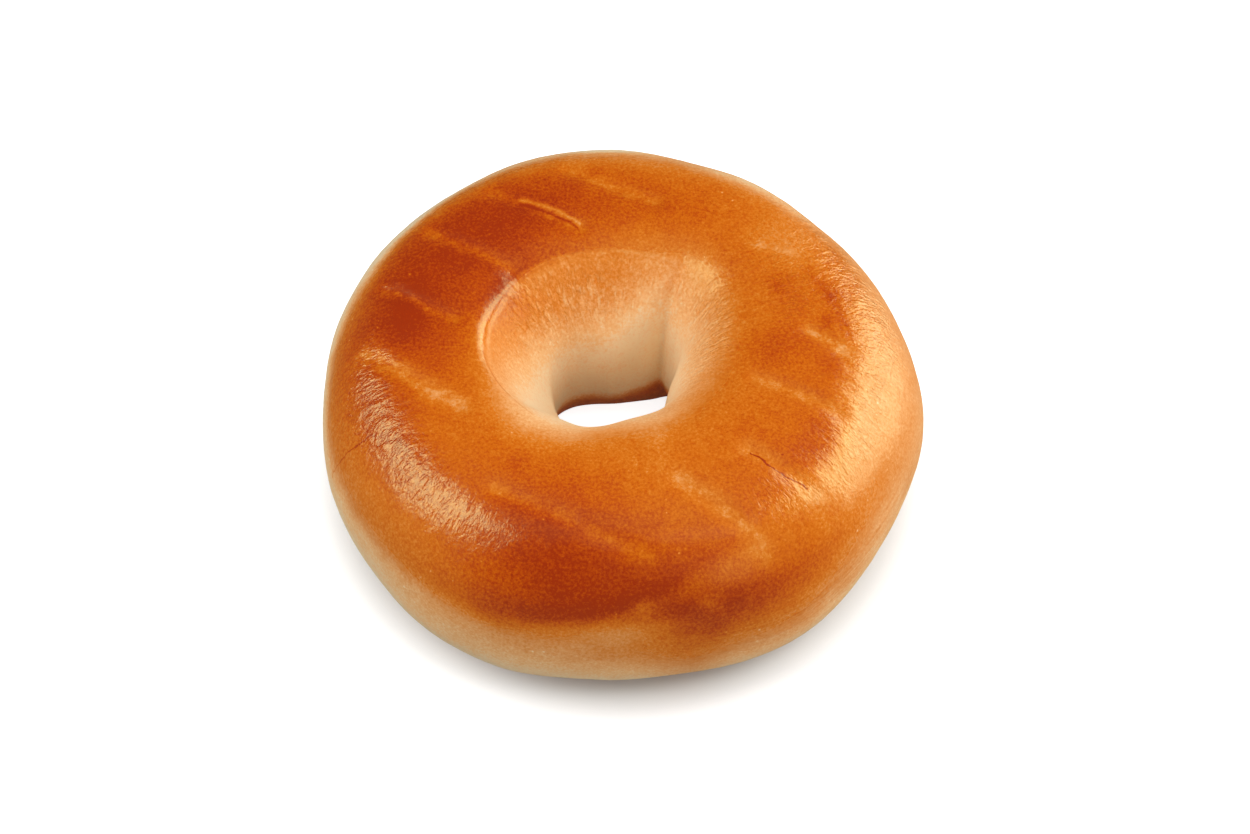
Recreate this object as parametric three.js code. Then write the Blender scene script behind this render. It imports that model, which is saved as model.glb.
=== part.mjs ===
// A plain bagel: one ring of boiled and baked dough, browned on top, lying on its flat base.
// Millimetres, +Z up. The origin is the middle of the bounding box's bottom face.
import * as THREE from "three";
import { ParametricGeometry } from "three/addons/geometries/ParametricGeometry.js";

// Driving dimensions. Angles are in degrees: round the ring counter-clockwise from +X, and
// round the dough's section from its outermost point up over the crown to the hole.
const ring = {
  outerRadius: 52.2, // at the waist, the widest level
  throatRadius: 10.1, // at the hole's narrowest level
  waistHeight: 18.2,
  throatDrop: 3.0, // how far the throat lies below the waist
  height: 39.5,
};

// How round or square each quarter of the section is: 2 is an ellipse, more is squarer.
// The funnel into the hole is squarer on one side of the ring than on the other.
const section = { shoulder: 2.14, foot: 2.27, funnel: 2.1, funnelGain: 0.3, gainAt: -20 };

// The dough settles on its base, and its crown is pressed by the rack that it bakes against.
const base = { sink: 2.2, blend: 0.7 };
const crown = { sink: 1.0, blend: 3.0 };

// Hand-rolled dough is never a true circle: each wobble is a number of lobes round the ring,
// their height as a share of the radius, and the angle of the first crest.
const outerWobbles = [
  { lobes: 2, share: 0.0097, crest: -36.5 },
  { lobes: 3, share: 0.0156, crest: -13.3 },
  { lobes: 5, share: 0.0068, crest: 16.4 },
  { lobes: 6, share: 0.0047, crest: 2.3 },
  { lobes: 7, share: 0.0053, crest: -5.7 },
];
const throatWobbles = [
  { lobes: 1, share: 0.182, crest: 100 },
  { lobes: 2, share: 0.13, crest: 33 },
  { lobes: 3, share: 0.088, crest: 35 },
  { lobes: 4, share: 0.095, crest: -41.8 },
  { lobes: 5, share: 0.027, crest: -32.4 },
];

// A steeper wall is cut into the funnel round the far side of the hole. It starts at a lip on
// the crown, ends sharply at the rope's join and fades out at the other end.
const funnelCut = {
  lipRadius: 21.4,
  lipOval: 1.5, // how much the lip's radius grows and shrinks as an oval
  ovalAt: 172,
  lipHeight: 37.7,
  slope: 54,
  blend: 0.5,
  from: 58.5,
  to: 222,
  sharpEnd: 3.5,
  softEnd: 16,
};

// The rope's two ends were pressed together here. One end bulges into the hole, and beside it
// a crease runs down the wall to a corner in the throat.
const joinCorner = { at: 56, spread: 9, depth: 0.5 };
const joinCrease = { at: 59, spread: 4.5, depth: 1.1, from: 124, to: 222, fade: 14 };
const joinBulge = { at: 24, spread: 25, height: 2.3, from: 132, to: 212, fade: 24 };

// The rack's parallel wires press shallow grooves into the crown. Each groove is given by the
// plan coordinates of its two ends: x and y, then x and y.
const groove = { halfWidth: 1.7, depth: 0.4 };
const grooves = [
  [-8.8, 38.2, 6.4, 30.9],
  [-21.7, 32.8, -6.8, 25.3],
  [-32.5, 23.8, -18.7, 16.4],
  [-40.0, 11.5, -28.6, 4.5],
  [-43.4, -2.2, -26.6, -14.3],
  [-20.4, -31.3, -7.5, -37.5],
  [-4.5, -39.4, 5.3, -43.2],
  [10.3, -29.9, 23.4, -39.8],
  [21.9, -23.7, 33.4, -30.6],
  [23.5, -8.4, 37.2, -15.2],
  [33.1, 1.9, 38.9, -2.6],
];
const crownContact = { low: 35.0, high: 38.2 };

// Slow swelling of the dough: waves that run in different directions, each a little shorter
// than the one before.
const swell = { height: 0.16, waves: 5, wavelength: 34, shorter: 0.11, turn: 137.5, climb: 0.7 };

// Mesh density. Rows of the section crowd together on the crown and the lip.
const mesh = { around: 108, section: 50, crowdAt: 105, crowding: 0.4 };

const { degToRad, radToDeg, euclideanModulo, smoothstep } = THREE.MathUtils;
const cosine = (angle) => Math.cos(degToRad(angle));
const sine = (angle) => Math.sin(degToRad(angle));
const hill = (distance, spread) => Math.exp(-((distance / spread) ** 2));

// Signed difference between two angles, from -180 to 180.
function turnBetween(a, b) {
  return euclideanModulo(a - b + 180, 360) - 180;
}

// 1 between two angles and 0 outside them, with ends of the given softness.
function stretch(angle, from, to, startFade, endFade = startFade) {
  const middle = (from + to) / 2;
  const offset = turnBetween(angle, middle);
  const started = smoothstep(offset, from - middle - startFade, from - middle + startFade);
  return started * (1 - smoothstep(offset, to - middle - endFade, to - middle + endFade));
}

function wobbled(radius, wobbles, angle) {
  let share = 1;
  for (const wobble of wobbles) {
    share += wobble.share * cosine(wobble.lobes * (angle - wobble.crest));
  }
  return radius * share;
}

// Holds a height above a floor at 0, with a round blend either side of it.
function settle(height, blend) {
  if (height >= blend) return height;
  return height <= -blend ? 0 : (height + blend) ** 2 / (4 * blend);
}

// Distance from the middle of the section to its skin, before any detail.
function sectionRadius(around, angle, halfWidth) {
  const across = cosine(angle);
  const up = sine(angle);
  const crownHalf = ring.height + crown.sink - ring.waistHeight;
  const baseHalf = ring.waistHeight + base.sink;
  const gain = (1 + cosine(around - section.gainAt)) / 2;
  const funnel = section.funnel + section.funnelGain * gain;
  const power = up <= 0 ? section.foot : across > 0 ? section.shoulder : funnel;
  const halfHeight = up > 0 ? crownHalf : baseHalf;
  const sum = Math.abs(across / halfWidth) ** power + Math.abs(up / halfHeight) ** power;
  return sum ** (-1 / power);
}

// What the rope's join adds to the section's radius.
function joinRelief(around, angle) {
  const { fade } = joinCrease;
  const creased = stretch(angle, joinCrease.from, joinCrease.to, fade);
  const fromCrease = turnBetween(around, joinCrease.at);
  const crease = joinCrease.depth * creased * hill(fromCrease, joinCrease.spread);
  const bulged = stretch(angle, joinBulge.from, joinBulge.to, joinBulge.fade);
  const fromBulge = turnBetween(around, joinBulge.at);
  const bulge = joinBulge.height * bulged * hill(fromBulge, joinBulge.spread);
  return bulge - crease;
}

// Moves a point of the section that stands proud of the funnel's steeper wall back onto it.
function cutFunnel(around, point) {
  const { slope, blend, from, to, sharpEnd, softEnd } = funnelCut;
  const lip = funnelCut.lipRadius + funnelCut.lipOval * cosine(2 * (around - funnelCut.ovalAt));
  const inward = (lip - point.x) * sine(slope);
  const proud = inward + (point.y - funnelCut.lipHeight) * cosine(slope);
  const cut = settle(proud, blend) * stretch(around, from, to, sharpEnd, softEnd);
  point.x += cut * sine(slope);
  point.y -= cut * cosine(slope);
}

function swelling(point) {
  let sum = 0;
  for (let i = 0; i < swell.waves; i += 1) {
    const heading = i * swell.turn;
    const along = point.x * cosine(heading) + point.y * sine(heading) + point.z * swell.climb;
    sum += Math.sin((2 * Math.PI * along) / (swell.wavelength * (1 - swell.shorter * i)) + i);
  }
  return (swell.height * sum) / Math.sqrt(swell.waves);
}

// Depth of the rack's grooves at a point on the crown.
function grooveDepth(point) {
  const spot = new THREE.Vector2(point.x, point.y);
  const nearest = new THREE.Vector2();
  let deepest = 0;
  for (const [startX, startY, endX, endY] of grooves) {
    const start = new THREE.Vector2(startX, startY);
    const wire = new THREE.Vector2(endX, endY).sub(start);
    const share = THREE.MathUtils.clamp(spot.clone().sub(start).dot(wire) / wire.lengthSq(), 0, 1);
    nearest.copy(wire).multiplyScalar(share).add(start);
    deepest = Math.max(deepest, hill(spot.distanceTo(nearest), groove.halfWidth));
  }
  return groove.depth * deepest * smoothstep(point.z, crownContact.low, crownContact.high);
}

// The dough's skin at two shares from 0 to 1: round the ring, and round the section.
function skin(aroundShare, sectionShare, target) {
  const around = 360 * aroundShare;
  const even = 360 * sectionShare - 90;
  const crowd = sine(even - mesh.crowdAt) + sine(mesh.crowdAt + 90);
  const angle = even - radToDeg(mesh.crowding * crowd);

  const outer = wobbled(ring.outerRadius, outerWobbles, around);
  const corner = joinCorner.depth * hill(turnBetween(around, joinCorner.at), joinCorner.spread);
  const throat = wobbled(ring.throatRadius, throatWobbles, around) + corner;
  const middle = (outer + throat) / 2;
  const radius = sectionRadius(around, angle, (outer - throat) / 2) + joinRelief(around, angle);
  const drop = ring.throatDrop * Math.min(0, cosine(angle)) ** 2;

  // Across the section: x is the distance from the ring's axis, y the height.
  const point = new THREE.Vector2(
    middle + radius * cosine(angle),
    ring.waistHeight + radius * sine(angle) - drop,
  );
  cutFunnel(around, point);

  target.set(point.x * cosine(around), point.x * sine(around), point.y);
  const swollen = swelling(target);
  point.x += swollen * cosine(angle);
  point.y += swollen * sine(angle);
  target.set(point.x * cosine(around), point.x * sine(around), settle(point.y, base.blend));
  target.z = ring.height - settle(ring.height - target.z, crown.blend);
  target.z -= grooveDepth(target);
}

// The ring as one closed skin, moved so that the origin is under its middle.
function doughRing() {
  const geometry = new ParametricGeometry(skin, mesh.around, mesh.section);
  geometry.computeBoundingBox();
  const middle = geometry.boundingBox.getCenter(new THREE.Vector3());
  geometry.translate(-middle.x, -middle.y, -geometry.boundingBox.min.z);
  return geometry;
}

const crust = new THREE.MeshStandardMaterial({
  color: new THREE.Color().setRGB(0.76, 0.37, 0.06, THREE.SRGBColorSpace),
  roughness: 0.42,
  metalness: 0,
});

const bagel = new THREE.Mesh(doughRing(), crust);
bagel.name = "bagel";

const part = new THREE.Group();
part.add(bagel);

export default part;
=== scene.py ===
import math

import bpy
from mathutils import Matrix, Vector


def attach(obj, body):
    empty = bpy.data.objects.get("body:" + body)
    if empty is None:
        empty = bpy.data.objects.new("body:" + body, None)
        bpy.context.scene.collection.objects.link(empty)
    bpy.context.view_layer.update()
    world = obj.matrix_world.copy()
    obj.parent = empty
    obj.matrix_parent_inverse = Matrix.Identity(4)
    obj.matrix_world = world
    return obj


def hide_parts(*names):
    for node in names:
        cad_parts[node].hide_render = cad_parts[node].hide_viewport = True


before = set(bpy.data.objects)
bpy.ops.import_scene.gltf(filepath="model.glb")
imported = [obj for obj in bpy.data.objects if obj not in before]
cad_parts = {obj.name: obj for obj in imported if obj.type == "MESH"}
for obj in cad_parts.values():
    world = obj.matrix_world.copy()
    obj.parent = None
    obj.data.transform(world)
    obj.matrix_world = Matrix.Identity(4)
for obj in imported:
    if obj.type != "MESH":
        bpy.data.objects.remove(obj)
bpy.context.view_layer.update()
print("frame loaded")

mm = 0.001
turn = 2 * math.pi
degrees = math.radians  # degrees(54) is 54 degrees


class amount:  # one number in a node tree; arithmetic on it places Math nodes
    def __init__(self, socket):
        self.socket = socket
        self.tree = socket.id_data

    def __add__(self, other):
        return reckon("ADD", self, other)

    def __radd__(self, other):
        return reckon("ADD", other, self)

    def __sub__(self, other):
        return reckon("SUBTRACT", self, other)

    def __rsub__(self, other):
        return reckon("SUBTRACT", other, self)

    def __mul__(self, other):
        return reckon("MULTIPLY", self, other)

    def __rmul__(self, other):
        return reckon("MULTIPLY", other, self)

    def __truediv__(self, other):
        return reckon("DIVIDE", self, other)

    def __rtruediv__(self, other):
        return reckon("DIVIDE", other, self)

    def __pow__(self, other):
        return reckon("POWER", self, other)

    def __neg__(self):
        return reckon("MULTIPLY", self, -1.0)


def feed(tree, socket, value):
    if isinstance(value, amount):
        tree.links.new(value.socket, socket)
    elif isinstance(value, bpy.types.NodeSocket):
        tree.links.new(value, socket)
    else:
        socket.default_value = value


def place(tree, kind, inputs=None, **settings):
    node = tree.nodes.new(kind)
    column, row = divmod(len(tree.nodes), 16)
    node.location = (column * 190, row * -170)
    for name, value in settings.items():
        setattr(node, name, value)
    for name, value in (inputs or {}).items():
        feed(tree, node.inputs[name], value)
    return node


def reckon(operation, *values):
    tree = next(value.tree for value in values if isinstance(value, amount))
    node = place(tree, "ShaderNodeMath", dict(enumerate(values)), operation=operation)
    return amount(node.outputs[0])


def cosine(angle):
    return reckon("COSINE", angle)


def sine(angle):
    return reckon("SINE", angle)


def atMost(a, b):
    return reckon("MINIMUM", a, b)


def atLeast(a, b):
    return reckon("MAXIMUM", a, b)


def isAbove(a, b):
    return reckon("GREATER_THAN", a, b)


def hill(distance, spread):
    share = distance / spread
    return reckon("EXPONENT", -(share * share))


def between(value, low, high):  # eases from 0 at low to 1 at high
    inputs = {"Value": value, "From Min": low, "From Max": high}
    node = place(value.tree, "ShaderNodeMapRange", inputs, interpolation_type="SMOOTHSTEP")
    return amount(node.outputs["Result"])


def turnFrom(angle, at):  # signed angle from at, between minus and plus half a turn
    return reckon("WRAP", angle - at, turn / 2, -turn / 2)


def stretch(angle, start, end, fade, endFade=None):  # 1 from start to end, 0 outside
    middle = (start + end) / 2
    offset = turnFrom(angle, middle)
    rise = between(offset, start - middle - fade, start - middle + fade)
    endFade = endFade or fade
    return rise * (1 - between(offset, end - middle - endFade, end - middle + endFade))


def settle(height, blend):  # keeps a height above 0, with a round blend
    held = atLeast(atMost(height, blend), -blend) + blend
    return held * held / (4 * blend) + atLeast(height - blend, 0)


def vectorOf(tree, x, y, z):
    return place(tree, "ShaderNodeCombineXYZ", {"X": x, "Y": y, "Z": z}).outputs[0]


def partsOf(tree, vector):
    return [amount(socket) for socket in place(tree, "ShaderNodeSeparateXYZ", {0: vector}).outputs]


def headingOf(tree, vector, lowest):  # a direction's angle, from lowest up to a turn more
    across, up, _ = partsOf(tree, vector)
    return reckon("WRAP", reckon("ARCTAN2", up, across), lowest + turn, lowest)


def noise(tree, vector, length, detail=2.0, roughness=0.6, fourth=None):  # from about -1 to 1
    inputs = {"Vector": vector, "Scale": 1 / length, "Detail": detail, "Roughness": roughness}
    if fourth is not None:
        inputs["W"] = fourth
    size = "3D" if fourth is None else "4D"
    node = place(tree, "ShaderNodeTexNoise", inputs, noise_dimensions=size)
    return (amount(node.outputs[0]) - 0.5) * 2


ring = {
    "rowsAround": 560,
    "rowsAcross": 178,
    "crowdAt": degrees(103),
    "crowding": 0.45,
    "throatDrop": 3.0 * mm,
    "baseSink": 2.2 * mm,
    "baseBlend": 0.7 * mm,
    "crownSink": 1.0 * mm,
    "crownBlend": 3.0 * mm,
    "shoulderPower": 2.14,
    "footPower": 2.27,
    "funnelPower": 2.1,
    "funnelGain": 0.3,
    "gainAt": degrees(-20),
    # lobes round the ring, share of the radius, angle of the first crest in degrees
    "outerWobbles": [(2, 0.0097, -36.5), (3, 0.0156, -13.3), (5, 0.0068, 16.4), (6, 0.0047, 2.3),
                     (7, 0.0053, -5.7)],
    "throatWobbles": [(1, 0.182, 100), (2, 0.13, 33), (3, 0.088, 35), (4, 0.095, -41.8),
                      (5, 0.027, -32.4)],
    "lipOval": 1.5 * mm,
    "ovalAt": degrees(172),
    "cutSlope": degrees(54),
    "cutBlend": 0.5 * mm,
    "cutFrom": degrees(58.5),
    "cutTo": degrees(222),
    "cutSharpEnd": degrees(3.5),
    "cutSoftEnd": degrees(16),
    "swellWaves": 5,
    "swellLength": 34 * mm,
    "swellShorter": 0.11,
    "swellTurn": degrees(137.5),
    "swellClimb": 0.7,
    "mergeWithin": 0.001 * mm,  # closes the grid's seams
}

ringSizes = {  # the tree's named inputs
    "Outer Radius": 52.2 * mm,
    "Throat Radius": 10.1 * mm,
    "Waist Height": 18.2 * mm,
    "Height": 39.5 * mm,
    "Lip Radius": 21.4 * mm,
    "Lip Height": 37.7 * mm,
    "Groove Half Width": 1.7 * mm,
    "Groove Depth": 0.4 * mm,
    "Swell Height": 0.16 * mm,
}

join = {  # where the rope's two ends were pressed together
    "cornerAt": degrees(56), "cornerSpread": degrees(9), "cornerDepth": 0.5 * mm,
    "creaseAt": degrees(59), "creaseSpread": degrees(4.5), "creaseDepth": 1.1 * mm,
    "creaseFrom": degrees(124), "creaseTo": degrees(222), "creaseFade": degrees(14),
    "bulgeAt": degrees(24), "bulgeSpread": degrees(25), "bulgeHeight": 2.3 * mm,
    "bulgeFrom": degrees(132), "bulgeTo": degrees(212), "bulgeFade": degrees(24),
}

rack = {
    "low": 35.0 * mm, "high": 38.2 * mm,
    # where the wires touched: x and y of both ends, half width of the pale mark, paleness
    "marks": [(-8.8, 38.2, 6.4, 30.9, 1.2, 0.60), (-21.7, 32.8, -6.8, 25.3, 1.1, 0.60),
              (-32.5, 23.8, -18.7, 16.4, 1.2, 0.75), (-40.0, 11.5, -28.6, 4.5, 1.0, 0.60),
              (-43.4, -2.2, -26.6, -14.3, 2.0, 0.85), (-20.4, -31.3, -7.5, -37.5, 1.1, 0.55),
              (-4.5, -39.4, 5.3, -43.2, 1.0, 0.50), (10.3, -29.9, 23.4, -39.8, 1.8, 0.65),
              (21.9, -23.7, 33.4, -30.6, 1.5, 0.60), (23.5, -8.4, 37.2, -15.2, 1.0, 0.60),
              (33.1, 1.9, 38.9, -2.6, 1.1, 0.80), (23.5, 21.0, 30.5, 19.3, 0.8, 0.50),
              (6.6, -17.5, 7.4, -30.5, 1.6, 0.22)],
    "pressed": 11,  # how many of them are deep enough to leave a groove
    "ragged": 1.1 * mm, "raggedLength": 2.0 * mm,
    "patchy": 1.1, "patchyLength": 3.5 * mm, "patchyMiddle": 0.85, "faintest": 0.1,
}


def wobbled(radius, wobbles, around):
    share = 1.0
    for lobes, height, crest in wobbles:
        share = cosine((around - degrees(crest)) * lobes) * height + share
    return radius * share


def sectionRadius(size, around, angle, halfWidth):
    across, up = cosine(angle), sine(angle)
    isUp = isAbove(up, 0)
    isOut = isAbove(across, 0)
    gain = (cosine(around - ring["gainAt"]) + 1) / 2
    funnel = gain * ring["funnelGain"] + ring["funnelPower"]
    upper = funnel + isOut * (ring["shoulderPower"] - funnel)
    power = isUp * (upper - ring["footPower"]) + ring["footPower"]
    crownHalf = size["Height"] + ring["crownSink"] - size["Waist Height"]
    baseHalf = size["Waist Height"] + ring["baseSink"]
    halfHeight = baseHalf + isUp * (crownHalf - baseHalf)
    total = reckon("ABSOLUTE", across / halfWidth) ** power
    total = total + reckon("ABSOLUTE", up / halfHeight) ** power
    return total ** (-1 / power)


def joinRelief(around, angle):
    crease = stretch(angle, join["creaseFrom"], join["creaseTo"], join["creaseFade"])
    crease = crease * hill(turnFrom(around, join["creaseAt"]), join["creaseSpread"])
    bulge = stretch(angle, join["bulgeFrom"], join["bulgeTo"], join["bulgeFade"])
    bulge = bulge * hill(turnFrom(around, join["bulgeAt"]), join["bulgeSpread"])
    return bulge * join["bulgeHeight"] - crease * join["creaseDepth"]


def lipRadius(size, around):
    return size["Lip Radius"] + cosine((around - ring["ovalAt"]) * 2) * ring["lipOval"]


def swelling(size, x, y, z):
    total = 0.0
    for i in range(ring["swellWaves"]):
        heading = i * ring["swellTurn"]
        along = x * math.cos(heading) + y * math.sin(heading) + z * ring["swellClimb"]
        length = ring["swellLength"] * (1 - ring["swellShorter"] * i)
        total = sine(along * (turn / length) + float(i)) + total
    return total * size["Swell Height"] / math.sqrt(ring["swellWaves"])


def fromSegment(x, y, startX, startY, endX, endY):  # distance from a straight line with two ends
    runX, runY = endX - startX, endY - startY
    along = ((x - startX) * runX + (y - startY) * runY) / (runX * runX + runY * runY)
    share = atLeast(atMost(along, 1), 0)
    awayX, awayY = x - startX - share * runX, y - startY - share * runY
    return (awayX * awayX + awayY * awayY) ** 0.5


def rackGroove(size, x, y, up):  # how deep the wires sank into the crown
    deepest = 0.0
    for *ends, _, _ in rack["marks"][:rack["pressed"]]:
        away = fromSegment(x, y, *[end * mm for end in ends])
        deepest = atLeast(hill(away, size["Groove Half Width"]), deepest)
    return deepest * between(up, rack["low"], rack["high"]) * size["Groove Depth"]


def rackMark(tree, x, y, vector):  # pale ragged stripes that the wires left
    ragged = noise(tree, vector, rack["raggedLength"]) * rack["ragged"]
    patchy = noise(tree, vector, rack["patchyLength"]) * rack["patchy"]
    mark = 0.0
    for *ends, halfWidth, paleness in rack["marks"]:
        away = fromSegment(x, y, *[end * mm for end in ends]) + ragged
        mark = atLeast(hill(away, halfWidth * mm) * paleness, mark)
    return mark * atLeast(patchy + rack["patchyMiddle"], rack["faintest"])


def doughForm(tree, size, u, v):
    # gives a grid point's place, and its directions from the section's and from the ring's middle
    around = u * turn
    even = v * turn - turn / 4
    crowd = sine(even - ring["crowdAt"]) + math.sin(ring["crowdAt"] + turn / 4)
    angle = even - crowd * ring["crowding"]

    outer = wobbled(size["Outer Radius"], ring["outerWobbles"], around)
    corner = hill(turnFrom(around, join["cornerAt"]), join["cornerSpread"]) * join["cornerDepth"]
    throat = wobbled(size["Throat Radius"], ring["throatWobbles"], around) + corner
    radius = sectionRadius(size, around, angle, (outer - throat) / 2) + joinRelief(around, angle)
    inward = atMost(cosine(angle), 0)
    out = (outer + throat) / 2 + radius * cosine(angle)
    up = size["Waist Height"] + radius * sine(angle) - inward * inward * ring["throatDrop"]

    # the steeper wall on the far side of the funnel
    inwards, downwards = math.sin(ring["cutSlope"]), math.cos(ring["cutSlope"])
    proud = (lipRadius(size, around) - out) * inwards + (up - size["Lip Height"]) * downwards
    ends = stretch(around, ring["cutFrom"], ring["cutTo"], ring["cutSharpEnd"], ring["cutSoftEnd"])
    cut = settle(proud, ring["cutBlend"]) * ends
    out = out + cut * inwards
    up = up - cut * downwards

    swollen = swelling(size, out * cosine(around), out * sine(around), up)
    out = out + swollen * cosine(angle)
    up = settle(up + swollen * sine(angle), ring["baseBlend"])
    up = size["Height"] - settle(size["Height"] - up, ring["crownBlend"])
    x, y = out * cosine(around), out * sine(around)
    up = up - rackGroove(size, x, y, up)
    crossed = vectorOf(tree, cosine(angle), sine(angle), 0.0)
    turned = vectorOf(tree, cosine(around), sine(around), 0.0)
    return vectorOf(tree, x, y, up), crossed, turned


skin = {  # relief of the skin
    # zones are a strength, then the middle and the spread, both round the ring and round the
    # section, in degrees
    "seed": 7.0,
    "lumpLength": 15 * mm, "lumpHeight": 0.22 * mm,
    "dimpleLength": 4.5 * mm, "dimpleHeight": 0.07 * mm,
    # turns and rises are noise cells in a radian of the ring and of the section
    "wrinkleTurns": 19.0, "innerTurns": 9.0, "wrinkleRises": 4.0,
    "innerFrom": degrees(98), "innerTo": degrees(116),  # the funnel
    "wrinkleHeight": 0.24 * mm, "foldSteepness": 2.5,
    "wrinkleEverywhere": 0.06,
    "wrinkled": [(0.9, 217, 58, 22, 14), (0.9, 195, 50, 12, 17), (0.9, 118, 134, 50, 16),
                 (1.0, 4, 56, 34, 15), (0.6, 130, 56, 48, 10), (0.7, 22, 88, 22, 18),
                 (0.5, 306, 62, 12, 12), (0.6, 20, 128, 40, 14)],
    "streakTurns": 3.5, "streakRises": 15.0, "streakHeight": 0.14 * mm,
    "streaked": [(1.0, 325, 2, 32, 15), (0.7, 196, -4, 22, 12), (0.8, 98, 56, 26, 7)],
    "lipFrom": degrees(62), "lipTo": degrees(205), "lipFade": degrees(12),
    # the lip's rim is raised, and painted paler along the lip as a highlight
    "lipRaise": 0.17 * mm, "lipRaiseWidth": 0.45 * mm, "lipHighlight": 0.26,
    "lipPatchyLength": 1.6 * mm, "lipPatchyMiddle": 0.6,
    "lipWiggle": 0.45 * mm, "lipWiggleLength": 4.0 * mm,
    "lipFaintFrom": degrees(150), "lipFaintTo": degrees(215), "lipFaint": 0.6,
    "lipGroove": 0.10 * mm, "lipGrooveAt": 0.75 * mm, "lipGrooveWidth": 0.5 * mm,
    "smoothBelow": 0.4 * mm, "roughAbove": 3.0 * mm,  # heights: the base has no relief
}

baking = {  # 0 is pale dough, 1 the darkest crust; angles in degrees
    "crown": 0.56, "flank": 0.33, "throat": 0.01,
    "edge": 64, "edgeDrop": 46, "dropFrom": 166, "dropTo": 289, "dropFade": 43,
    "edgeSoft": 11, "edgeSharper": 8, "sharpAt": 271, "sharpSpread": 19,
    "ragged": 6, "raggedLength": 7 * mm, "evener": 0.6,
    "inner": 132, "innerSoft": 21,
    "innerLobes": [(15, 122, 60), (-19, 225, 35), (-12, 57, 23)],
    "wall": 0.49, "wallFrom": -0.3 * mm, "wallTo": 0.8 * mm,
    "lowAt": -7, "lowSoft": 33, "lowLobes": [(54, 159, 44), (-23, 284, 6)],
    # strength, then middle and spread round the ring and round the section
    "patches": [(0.41, 134, 86, 42, 40), (0.21, 174, 66, 24, 40), (0.32, 254, 56, 21, 35),
                (0.12, 313, 30, 35, 9), (0.47, 272, 20, 26, 9), (-0.63, 271, 17, 16, 9),
                (-0.17, 35, 81, 11, 11), (0.12, 356, 102, 10, 18), (-0.31, 284, 130, 23, 15),
                (-0.14, 182, 112, 18, 6), (0.16, 218, 91, 32, 15), (0.16, 60, 91, 49, 18),
                (0.45, 287, 20, 30, 31), (0.15, 326, 77, 60, 40), (0.28, 211, 58, 24, 14),
                # the paler patches on the far rim, near 91, 118 and 144 round the ring, are a
                # painted reflection of the floor at grazing
                (-0.28, 118, 49, 34, 6), (-0.12, 337, 52, 14, 9), (-0.20, 55, 58, 16, 7),
                (-0.34, 91, 46, 10, 7), (-0.32, 144, 44, 22, 9), (-0.12, 168, 32, 22, 12),
                (-0.08, 60, 54, 10, 8), (0.08, 22, 58, 14, 8), (0.06, 350, 0, 14, 12),
                (0.06, 246, 70, 12, 8), (-0.20, 275, 28, 2.3, 5), (-0.18, 288, 26, 2.2, 4.5)],
    # the same, added after the wall and the throat, so that they reach inside the lip
    "latePatches": [(0.28, 153, 117, 14, 9), (0.12, 48, 136, 14, 17), (-0.05, 116, 133, 14, 8),
                    (0.14, 171, 76, 12, 10), (0.12, 152, 131, 14, 8), (0.12, 26, 60, 14, 9),
                    (-0.08, 297, 17, 10, 8), (0.10, 313, 45, 15, 7), (0.14, 325, 63, 15, 10),
                    (0.16, 6, 78, 3, 3.5), (0.14, 23, 95, 4, 4), (0.10, 14, 70, 3, 7),
                    (0.10, 350, 74, 4, 5), (0.14, 284, 12, 8, 4), (0.07, 262, 13, 9, 4.5),
                    (0.14, 2, 56, 8, 8), (0.14, 329, 59, 8, 6), (-0.06, 217, 97, 14, 12),
                    (-0.08, 48, 90, 14, 10)],
    # the foot of the throat is darker: partly browned bottom crust, partly painted shade where the
    # wall turns down out of the light
    "foot": 0.74, "footFrom": 188, "footTo": 201,
    "base": 0.52, "baseFrom": 3.0 * mm, "baseTo": 0.6 * mm,
}


def patchSum(around, angle, patches):
    total = 0.0
    for height, at, level, spread, rise in patches:
        patch = hill(turnFrom(around, degrees(at)), degrees(spread))
        total = patch * hill(angle - degrees(level), degrees(rise)) * height + total
    return total


def lobeSum(around, base, lobes):  # an angle that rises and falls round the ring
    total = degrees(base)
    for height, at, spread in lobes:
        total = hill(turnFrom(around, degrees(at)), degrees(spread)) * degrees(height) + total
    return total


def beyondLip(size, around, x, y, z, vector):  # distance inwards and downwards past the lip
    out = (x * x + y * y) ** 0.5
    wiggle = noise(vector.id_data, vector, skin["lipWiggleLength"]) * skin["lipWiggle"]
    return (lipRadius(size, around) - out + size["Lip Height"] - z) * math.sqrt(0.5) + wiggle


def alongLip(around):  # 1 where there is a lip
    return stretch(around, skin["lipFrom"], skin["lipTo"], skin["lipFade"])


def lipRim(tree, around, past, vector):  # the lip's thin raised rim, which the crust colour also paints paler as a highlight
    patchy = noise(tree, vector, skin["lipPatchyLength"]) + skin["lipPatchyMiddle"]
    faint = stretch(around, skin["lipFaintFrom"], skin["lipFaintTo"], skin["lipFade"])
    patchy = patchy * (1 - faint * skin["lipFaint"])
    return hill(past + skin["lipRaiseWidth"] / 2, skin["lipRaiseWidth"]) * patchy


def skinCells(tree, turned, angle, turns, rises):  # noise that is stretched along the skin
    cx, cy, _ = partsOf(tree, turned)
    return noise(tree, vectorOf(tree, cx * turns, cy * turns, angle * rises), 1.0)


def folded(value):  # plump folds with sharp creases between them, from 0 to 1
    return atMost(reckon("ABSOLUTE", value) * skin["foldSteepness"], 1.0)


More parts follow.
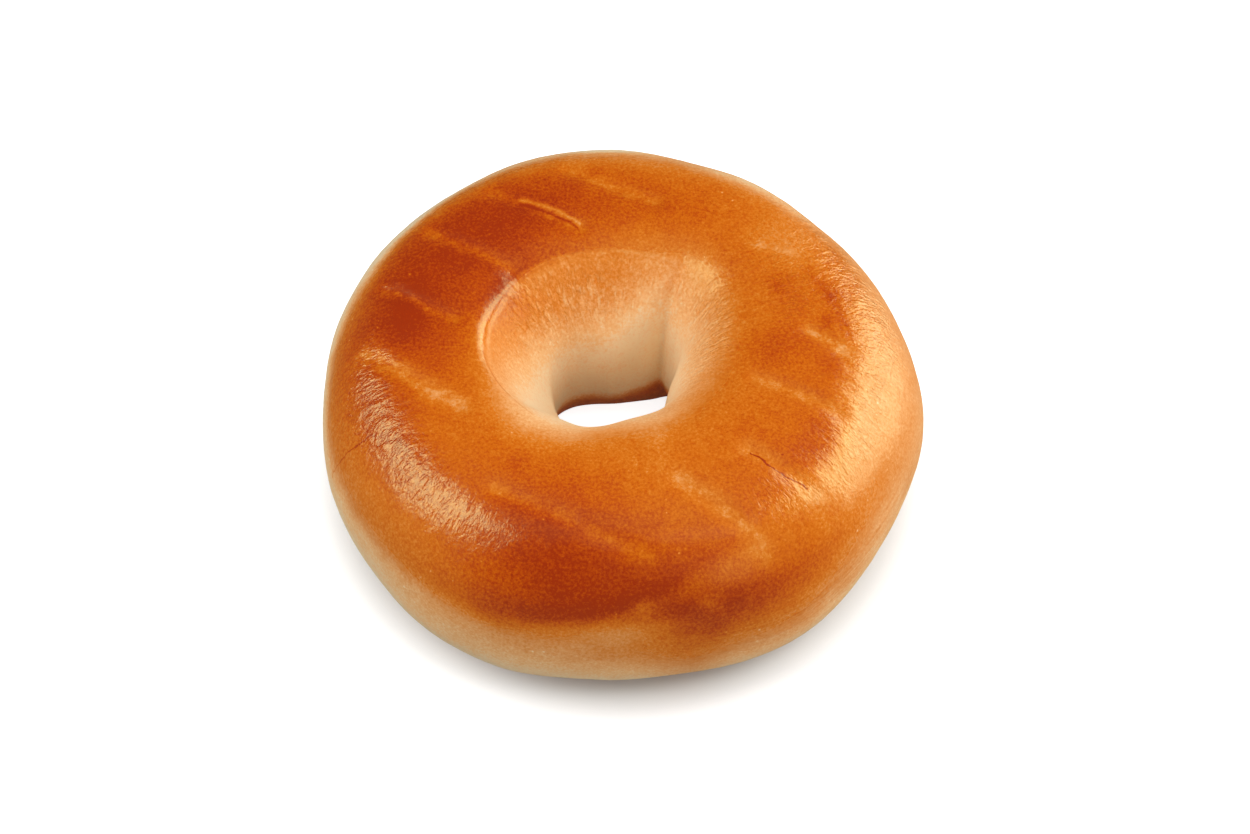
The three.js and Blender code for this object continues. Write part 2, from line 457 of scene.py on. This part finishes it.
def skinRelief(tree, around, angle, z, past, vector, turned):
    lumps = noise(tree, vector, skin["lumpLength"], 1.0, 0.5, skin["seed"]) * skin["lumpHeight"]
    dimples = noise(tree, vector, skin["dimpleLength"], 1.0, 0.5, skin["seed"])
    dimples = dimples * skin["dimpleHeight"]
    wrinkled = atMost(patchSum(around, angle, skin["wrinkled"]) + skin["wrinkleEverywhere"], 1.0)
    folds, innerFolds = (folded(skinCells(tree, turned, angle, turns, skin["wrinkleRises"]))
                         for turns in (skin["wrinkleTurns"], skin["innerTurns"]))
    folds = folds + between(angle, skin["innerFrom"], skin["innerTo"]) * (innerFolds - folds)
    folds = folds * wrinkled * skin["wrinkleHeight"]
    streaked = atMost(patchSum(around, angle, skin["streaked"]), 1.0)
    streaks = skinCells(tree, turned, angle, skin["streakTurns"], skin["streakRises"])
    streaks = streaks * streaked * skin["streakHeight"]
    raised = lipRim(tree, around, past, vector) * skin["lipRaise"]
    sunk = hill(past - skin["lipGrooveAt"], skin["lipGrooveWidth"]) * skin["lipGroove"]
    free = between(z, skin["smoothBelow"], skin["roughAbove"])
    relief = (lumps + dimples + folds + streaks + (raised - sunk) * alongLip(around)) * free
    return relief, wrinkled, streaked


def bakeLevel(tree, around, angle, z, past, vector):
    dropEnds = [degrees(baking[name]) for name in ("dropFrom", "dropTo", "dropFade")]
    edge = degrees(baking["edge"]) - stretch(around, *dropEnds) * degrees(baking["edgeDrop"])
    sharper = hill(turnFrom(around, degrees(baking["sharpAt"])), degrees(baking["sharpSpread"]))
    ragged = (1 - sharper * baking["evener"]) * degrees(baking["ragged"])
    edge = edge + noise(tree, vector, baking["raggedLength"]) * ragged
    soft = degrees(baking["edgeSoft"]) - sharper * degrees(baking["edgeSharper"])
    crowned = between(angle, edge - soft, edge + soft)
    low = lobeSum(around, baking["lowAt"], baking["lowLobes"])
    above = between(angle, low - degrees(baking["lowSoft"]), low + degrees(baking["lowSoft"]))
    level = above * baking["flank"]
    level = level + crowned * (baking["crown"] - level)
    level = level + patchSum(around, angle, baking["patches"])

    onWall = isAbove(angle, turn / 4) * alongLip(around)
    walled = between(past, baking["wallFrom"], baking["wallTo"]) * onWall
    level = level + walled * (baking["wall"] - level)
    # painted highlight: the lip's raised rim is painted paler
    level = level - lipRim(tree, around, past, vector) * alongLip(around) * skin["lipHighlight"]
    inner = lobeSum(around, baking["inner"], baking["innerLobes"])
    innerSoft = degrees(baking["innerSoft"])
    inside = between(angle, inner - innerSoft, inner + innerSoft)
    level = level + inside * (baking["throat"] - level)
    level = level + patchSum(around, angle, baking["latePatches"])
    # darker at the foot of the throat: browned bottom crust and painted shade
    foot = between(angle, degrees(baking["footFrom"]), degrees(baking["footTo"]))
    level = level + foot * (baking["foot"] - level)
    based = between(-z, -baking["baseFrom"], -baking["baseTo"])
    return level + based * (baking["base"] - level)


def storeField(tree, geometry, name, value, kind="FLOAT"):
    inputs = {"Geometry": geometry, "Name": name, "Value": value}
    node = place(tree, "GeometryNodeStoreNamedAttribute", inputs, data_type=kind, domain="POINT")
    return node.outputs["Geometry"]


def readField(tree, name, kind="FLOAT"):
    node = place(tree, "GeometryNodeInputNamedAttribute", {"Name": name}, data_type=kind)
    return node.outputs["Attribute"]


def ringTree(material):
    tree = bpy.data.node_groups.new("dough ring", "GeometryNodeTree")
    tree.interface.new_socket("Geometry", in_out="INPUT", socket_type="NodeSocketGeometry")
    tree.interface.new_socket("Geometry", in_out="OUTPUT", socket_type="NodeSocketGeometry")
    for name in ringSizes:
        tree.interface.new_socket(name, in_out="INPUT", socket_type="NodeSocketFloat")
    for name in ("Rows Around", "Rows Across"):
        tree.interface.new_socket(name, in_out="INPUT", socket_type="NodeSocketInt")
    start = place(tree, "NodeGroupInput")
    size = {name: amount(start.outputs[name]) for name in ringSizes}

    grid = place(tree, "GeometryNodeMeshGrid", {
        "Size X": 1.0, "Size Y": 1.0,
        "Vertices X": start.outputs["Rows Around"], "Vertices Y": start.outputs["Rows Across"],
    })
    gridPlace = place(tree, "GeometryNodeInputPosition").outputs[0]
    gridX, gridY, _ = partsOf(tree, gridPlace)
    position, crossed, turned = doughForm(tree, size, gridX + 0.5, gridY + 0.5)
    geometry = storeField(tree, grid.outputs["Mesh"], "section", crossed, "FLOAT_VECTOR")
    geometry = storeField(tree, geometry, "round", turned, "FLOAT_VECTOR")
    shaped = place(tree, "GeometryNodeSetPosition", {"Geometry": geometry, "Position": position})
    merged = place(tree, "GeometryNodeMergeByDistance",
                   {"Geometry": shaped.outputs["Geometry"], "Distance": ring["mergeWithin"]})
    closed = merged.outputs["Geometry"]
    box = place(tree, "GeometryNodeBoundBox", {"Geometry": closed})
    low = partsOf(tree, box.outputs["Min"])
    high = partsOf(tree, box.outputs["Max"])

    here = place(tree, "GeometryNodeInputPosition").outputs[0]
    x, y, z = partsOf(tree, here)
    turned = readField(tree, "round", "FLOAT_VECTOR")
    around = headingOf(tree, turned, -turn / 2)
    angle = headingOf(tree, readField(tree, "section", "FLOAT_VECTOR"), -turn / 4)
    past = beyondLip(size, around, x, y, z, here)
    relief, wrinkled, streaked = skinRelief(tree, around, angle, z, past, here, turned)
    fields = {
        "bake": bakeLevel(tree, around, angle, z, past, here), "wrinkled": wrinkled,
        "streaked": streaked, "stripe": rackMark(tree, x, y, here), "relief": relief,
    }
    geometry = closed
    for name, value in fields.items():
        geometry = storeField(tree, geometry, name, value)
    normal = place(tree, "GeometryNodeInputNormal").outputs[0]
    offset = place(tree, "ShaderNodeVectorMath", {0: normal}, operation="SCALE")
    feed(tree, offset.inputs["Scale"], readField(tree, "relief"))
    raised = place(tree, "GeometryNodeSetPosition",
                   {"Geometry": geometry, "Offset": offset.outputs[0]})

    middle = vectorOf(tree, -((low[0] + high[0]) / 2), -((low[1] + high[1]) / 2), -low[2])
    moved = place(tree, "GeometryNodeTransform",
                  {"Geometry": raised.outputs["Geometry"], "Translation": middle})
    smooth = place(tree, "GeometryNodeSetShadeSmooth", {"Geometry": moved.outputs["Geometry"]})
    real = place(tree, "GeometryNodeRealizeInstances", {"Geometry": smooth.outputs["Geometry"]})
    painted = place(tree, "GeometryNodeSetMaterial",
                    {"Geometry": real.outputs["Geometry"], "Material": material})
    end = place(tree, "NodeGroupOutput")
    tree.links.new(painted.outputs["Geometry"], end.inputs["Geometry"])
    return tree


def plainMesh(name, tree, values):  # the tree's result as a mesh without modifiers
    source = bpy.data.objects.new(name + " source", bpy.data.meshes.new(name + " source"))
    bpy.context.scene.collection.objects.link(source)
    modifier = source.modifiers.new("ring", "NODES")
    modifier.node_group = tree
    sockets = {item.name: item.identifier for item in tree.interface.items_tree}
    for socketName, value in values.items():
        modifier[sockets[socketName]] = value
    bpy.context.view_layer.update()
    evaluated = source.evaluated_get(bpy.context.evaluated_depsgraph_get())
    mesh = bpy.data.meshes.new_from_object(evaluated)
    mesh.name = name
    piece = bpy.data.objects.new(name, mesh)
    bpy.context.scene.collection.objects.link(piece)
    source.modifiers.clear()
    bpy.data.objects.remove(source)
    return piece


crustLook = {
    # bake level and linear colour, from raw dough to the darkest crust
    "colours": [(0.00, (0.910, 0.690, 0.430)), (0.15, (0.890, 0.510, 0.230)),
                (0.30, (0.820, 0.360, 0.120)), (0.42, (0.760, 0.270, 0.060)),
                (0.55, (0.700, 0.190, 0.012)), (0.68, (0.630, 0.130, 0.002)),
                (0.80, (0.540, 0.080, 0.001)), (0.90, (0.460, 0.050, 0.001)),
                (1.00, (0.360, 0.026, 0.001))],
    # the rack's marks: how pale and how matt, and how much they break up
    "stripePale": 0.34, "stripeMatt": 0.3,
    "stripeBroken": 1.4, "stripeMiddle": 0.85, "stripeMost": 1.3,
    "mottleLength": 4.5 * mm, "mottle": 0.10,
    "grainLength": 0.5 * mm, "grain": 0.31, "paleBelow": 0.35,  # pale dough has half the grain
    "streakTurns": 5.0, "streakRises": 34.0, "streakBrown": 0.30, "streakHeight": 0.07 * mm,
    "mattRougher": 1.3, "glossyRough": 0.23, "mattRough": 0.56, "roughnessVaries": 0.06,
    "mattBelow": 0.24, "glossyAbove": 0.58,  # bake levels
    "dullFrom": degrees(112), "dullTo": degrees(128), "dull": 0.8,  # the funnel is less glossy
    "ior": 1.6, "specular": 1.0, "specularTint": (0.85, 0.95, 0.44, 1),
    "fineTurns": 36.0, "fineInnerTurns": 15.0, "fineRises": 8.0, "fineHeight": 0.09 * mm,
    "peelLength": 1.6 * mm, "peelHeight": 0.04 * mm, "netHeight": 0.045 * mm,
    "creaseShade": 0.09, "innerCreaseShade": 0.26,  # painted shade: the bottoms of the wrinkles are darker and their tops paler
    # spots: how far apart, radius, share of the places that have one, change of the bake level
    "spots": [(1.7 * mm, 0.15 * mm, 0.40, -0.45), (4.0 * mm, 0.18 * mm, 0.40, 0.30)],
    "smallest": 0.5,  # of the radius
    "spotsLength": 12 * mm, "spotsFrom": -0.1, "spotsTo": 0.35,  # they come in patches
    "spotsShift": 0.37,  # between one sort of spot and the next
    # cracks: both ends in degrees round the ring and round the section, half width, change of
    # the bake level
    "cracks": [(312.5, 84, 316.5, 55, 0.11 * mm, 0.70), (119.5, 82, 105.5, 104, 0.30 * mm, 0.22),
               (118.5, 80, 104.5, 102, 0.45 * mm, -0.32), (199.5, 12, 203.0, 50, 0.10 * mm, 0.30),
               (25.0, 79, 1.5, 68, 1.0 * mm, 0.10), (182.0, 111.5, 194.0, 114, 0.16 * mm, 0.25),
               (194.0, 114, 210.0, 118.5, 0.18 * mm, 0.35),
               (210.0, 118.5, 226.0, 119, 0.14 * mm, 0.20)],
    "crackWiggle": 1.1 * mm, "crackWiggleLength": 3.0 * mm,
    "turnLength": 38 * mm, "riseLength": 21 * mm,  # a radian of the ring and of the section
}


def attributeOf(tree, name, output):
    return place(tree, "ShaderNodeAttribute", attribute_name=name).outputs[output]


def crustCracks(tree, look, here, around, angle):
    wiggle = noise(tree, here, look["crackWiggleLength"], 3.0) * look["crackWiggle"]
    level = 0.0
    along, across = around * look["turnLength"], angle * look["riseLength"]
    for startTurn, startRise, endTurn, endRise, halfWidth, bakeShift in look["cracks"]:
        start = degrees(startTurn) * look["turnLength"], degrees(startRise) * look["riseLength"]
        end = degrees(endTurn) * look["turnLength"], degrees(endRise) * look["riseLength"]
        crack = hill(fromSegment(along + wiggle, across, *start, *end), halfWidth)
        level = crack * bakeShift + level
    return level


def crustSpots(tree, look, here):
    level = 0.0
    patchy = noise(tree, here, look["spotsLength"], 1.0, 0.5)
    patchy = between(patchy, look["spotsFrom"], look["spotsTo"])
    for number, (apart, radius, share, bakeShift) in enumerate(look["spots"]):
        shift = (number * look["spotsShift"], 0, 0)
        moved = place(tree, "ShaderNodeVectorMath", {0: here, 1: shift}, operation="ADD")
        cells = place(tree, "ShaderNodeTexVoronoi",
                      {"Vector": moved.outputs[0], "Scale": 1 / apart})
        chosen, size, _ = partsOf(tree, cells.outputs["Color"])
        away = amount(cells.outputs["Distance"]) * apart
        spot = hill(away, (size + look["smallest"]) * radius) * isAbove(share, chosen) * patchy
        level = spot * bakeShift + level
    return level


def crustMaterial():
    look = crustLook
    material = bpy.data.materials.new("baked crust")
    material.use_nodes = True
    tree = material.node_tree
    shader = tree.nodes["Principled BSDF"]
    here = place(tree, "ShaderNodeTexCoord").outputs["Object"]
    bake = amount(attributeOf(tree, "bake", "Fac"))
    stripe = amount(attributeOf(tree, "stripe", "Fac"))
    wrinkled = amount(attributeOf(tree, "wrinkled", "Fac"))
    streaked = amount(attributeOf(tree, "streaked", "Fac"))
    turned = attributeOf(tree, "round", "Vector")
    around = headingOf(tree, turned, 0)
    angle = headingOf(tree, attributeOf(tree, "section", "Vector"), -turn / 4)

    mottle = noise(tree, here, look["mottleLength"], 3.0)
    grain = noise(tree, here, look["grainLength"], 2.0, 0.7)
    inFunnel = between(angle, skin["innerFrom"], skin["innerTo"])
    fine, innerFine = (folded(skinCells(tree, turned, angle, turns, look["fineRises"]))
                       for turns in (look["fineTurns"], look["fineInnerTurns"]))
    fine = fine + inFunnel * (innerFine - fine)
    peel = noise(tree, here, look["peelLength"], 4.0, 0.65)
    net = folded(peel)
    streaks = skinCells(tree, turned, angle, look["streakTurns"], look["streakRises"])
    cracked = crustCracks(tree, look, here, around, angle)
    spotted = crustSpots(tree, look, here)

    grainy = (between(bake, 0, look["paleBelow"]) + 1) * (look["grain"] / 2)
    broken = atLeast(peel * look["stripeBroken"] + look["stripeMiddle"], 0.0)
    broken = atMost(broken, look["stripeMost"])
    level = bake - stripe * broken * look["stripePale"] + mottle * look["mottle"] + grain * grainy
    level = level + streaks * streaked * look["streakBrown"] + cracked + spotted
    # painted shade on the wrinkles: the crust colour is darker in their creases and paler on the
    # tops of the folds, more so in the funnel
    bakeShift = inFunnel * (look["innerCreaseShade"] - look["creaseShade"]) + look["creaseShade"]
    level = level + (0.5 - fine) * wrinkled * bakeShift
    ramp = place(tree, "ShaderNodeValToRGB", {"Fac": level})
    stops = ramp.color_ramp.elements
    (firstAt, firstColour), *others, (lastAt, lastColour) = look["colours"]
    stops[0].position, stops[0].color = firstAt, (*firstColour, 1)
    stops[1].position, stops[1].color = lastAt, (*lastColour, 1)
    for position, colour in others:
        stops.new(position).color = (*colour, 1)
    tree.links.new(ramp.outputs["Color"], shader.inputs["Base Color"])

    gloss = between(bake - stripe * look["stripeMatt"], look["mattBelow"], look["glossyAbove"])
    gloss = gloss * (1 - between(angle, look["dullFrom"], look["dullTo"]) * look["dull"])
    height = (fine * look["fineHeight"] + net * look["netHeight"]) * wrinkled
    height = height * (1 + look["mattRougher"] - gloss * look["mattRougher"])
    height = height + peel * look["peelHeight"] + streaks * streaked * look["streakHeight"]
    bump = place(tree, "ShaderNodeBump", {"Height": height, "Distance": 1.0, "Strength": 1.0})
    tree.links.new(bump.outputs["Normal"], shader.inputs["Normal"])
    rough = mottle * look["roughnessVaries"] + look["mattRough"]
    rough = rough + gloss * (look["glossyRough"] - look["mattRough"])
    feed(tree, shader.inputs["Roughness"], rough)
    shader.inputs["IOR"].default_value = look["ior"]
    shader.inputs["Specular IOR Level"].default_value = look["specular"]
    shader.inputs["Specular Tint"].default_value = look["specularTint"]
    return material


crust = crustMaterial()
bagelTree = ringTree(crust)
bagel = plainMesh("bagelCrust", bagelTree, {
    **ringSizes, "Rows Around": ring["rowsAround"] + 1, "Rows Across": ring["rowsAcross"] + 1,
})
print("ring made:", len(bagel.data.polygons), "faces")
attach(bagel, "root")
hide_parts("bagel")

studio = {
    "aim": Vector((0.263, -1.867, 18.0)) * mm,
    "cameraDistance": 600 * mm,
    "elevation": degrees(53),
    "sensor": 36.0,
    "lens": 98.41,
    "lightDistance": 600 * mm,
    "lightAim": Vector((0, 0, 20)) * mm,
    "world": 0.06,
    "backdrop": 0.88,  # how bright the world looks beyond the floor
    "floorReach": 3.0,
    "floorColour": (0.6, 0.6, 0.6, 1),
    "floorRough": 0.8,
    "floorGlow": 0.85,  # a glow seen by camera rays only: painted light that keeps the floor pale beyond the ring's own shadow and so sets where that shadow ends
    "glowFrom": 43 * mm,
    "glowTo": 61 * mm,
    "holeGlowFrom": 26 * mm,  # the same painted light where the floor shows through the hole, hiding the ring's shade there
    "holeGlowTo": 16 * mm,
    "holeLight": 0.22,  # painted light: the floor under the hole glows for every ray and lights the throat from below, standing in for what a pale floor throws up
    "holeLightReach": 13 * mm,
}

softboxes = {  # azimuth and elevation, size, power, whether it shows in the gloss
    "left softbox": (184, 42, (0.42, 0.46), 2.2, True),
    "right softbox": (24, 23, (0.58, 0.56), 3.4, True),
    "top fill": (90, 88, (0.40, 0.40), 0.65, False),
    "hole fill": (312, 62, (0.16, 0.16), 0.75, False),
    "front fill": (302, 26, (0.30, 0.30), 1.15, False),
    "left fill": (195, 8, (0.40, 0.12), 0.25, False),
}


def addCamera():
    data = bpy.data.cameras.new("camera")
    data.sensor_width = studio["sensor"]
    data.lens = studio["lens"]
    camera = bpy.data.objects.new("camera", data)
    bpy.context.scene.collection.objects.link(camera)
    up = studio["elevation"]
    back = Vector((0, -math.cos(up), math.sin(up))) * studio["cameraDistance"]
    camera.location = studio["aim"] + back
    camera.rotation_euler = (turn / 4 - up, 0, 0)
    bpy.context.scene.camera = camera


def addSoftbox(name, azimuth, elevation, sides, power, shines):
    light = bpy.data.lights.new(name, "AREA")
    light.shape = "RECTANGLE"
    light.size, light.size_y = sides
    light.energy = power
    lamp = bpy.data.objects.new(name, light)
    bpy.context.scene.collection.objects.link(lamp)
    around, up = degrees(azimuth), degrees(elevation)
    level = math.cos(up)
    direction = Vector((math.cos(around) * level, math.sin(around) * level, math.sin(up)))
    lamp.location = direction * studio["lightDistance"]
    lamp.rotation_euler = (studio["lightAim"] - lamp.location).to_track_quat("-Z", "Y").to_euler()
    lamp.visible_glossy = shines


def addFloor():
    mesh = bpy.data.meshes.new("floor")
    reach = studio["floorReach"]
    corners = [(-reach, -reach, 0), (reach, -reach, 0), (reach, reach, 0), (-reach, reach, 0)]
    mesh.from_pydata(corners, [], [(0, 1, 2, 3)])
    material = bpy.data.materials.new("pale floor")
    material.use_nodes = True
    tree = material.node_tree
    shader = tree.nodes["Principled BSDF"]
    shader.inputs["Base Color"].default_value = studio["floorColour"]
    shader.inputs["Roughness"].default_value = studio["floorRough"]
    x, y, _ = partsOf(tree, place(tree, "ShaderNodeTexCoord").outputs["Object"])
    distance = (x * x + y * y) ** 0.5
    seen = amount(place(tree, "ShaderNodeLightPath").outputs["Is Camera Ray"])
    # painted light: camera rays see the floor glow beyond the ring's shadow and where it shows
    # through the hole
    beyond = between(distance, studio["glowFrom"], studio["glowTo"])
    inHole = 1 - between(distance, studio["holeGlowTo"], studio["holeGlowFrom"])
    glow = (beyond + inHole) * seen * studio["floorGlow"]
    # painted light: the floor under the hole glows and lights the throat from below
    glow = glow + hill(distance, studio["holeLightReach"]) * studio["holeLight"]
    shader.inputs["Emission Strength"].default_value = 1.0
    tree.links.new(vectorOf(tree, glow, glow, glow), shader.inputs["Emission Color"])
    mesh.materials.append(material)
    floor = bpy.data.objects.new("floor", mesh)
    bpy.context.scene.collection.objects.link(floor)
    floor.visible_glossy = False


def addWorld():
    world = bpy.data.worlds.new("studio")
    world.use_nodes = True
    tree = world.node_tree
    background = tree.nodes["Background"]
    background.inputs["Color"].default_value = (1, 1, 1, 1)
    seen = amount(place(tree, "ShaderNodeLightPath").outputs["Is Camera Ray"])
    strength = seen * (studio["backdrop"] - studio["world"]) + studio["world"]
    feed(tree, background.inputs["Strength"], strength)
    bpy.context.scene.world = world
    bpy.context.scene.view_settings.view_transform = "Standard"


addWorld()
addFloor()
addCamera()
for softboxName, softbox in softboxes.items():
    addSoftbox(softboxName, *softbox)
print("studio ready")
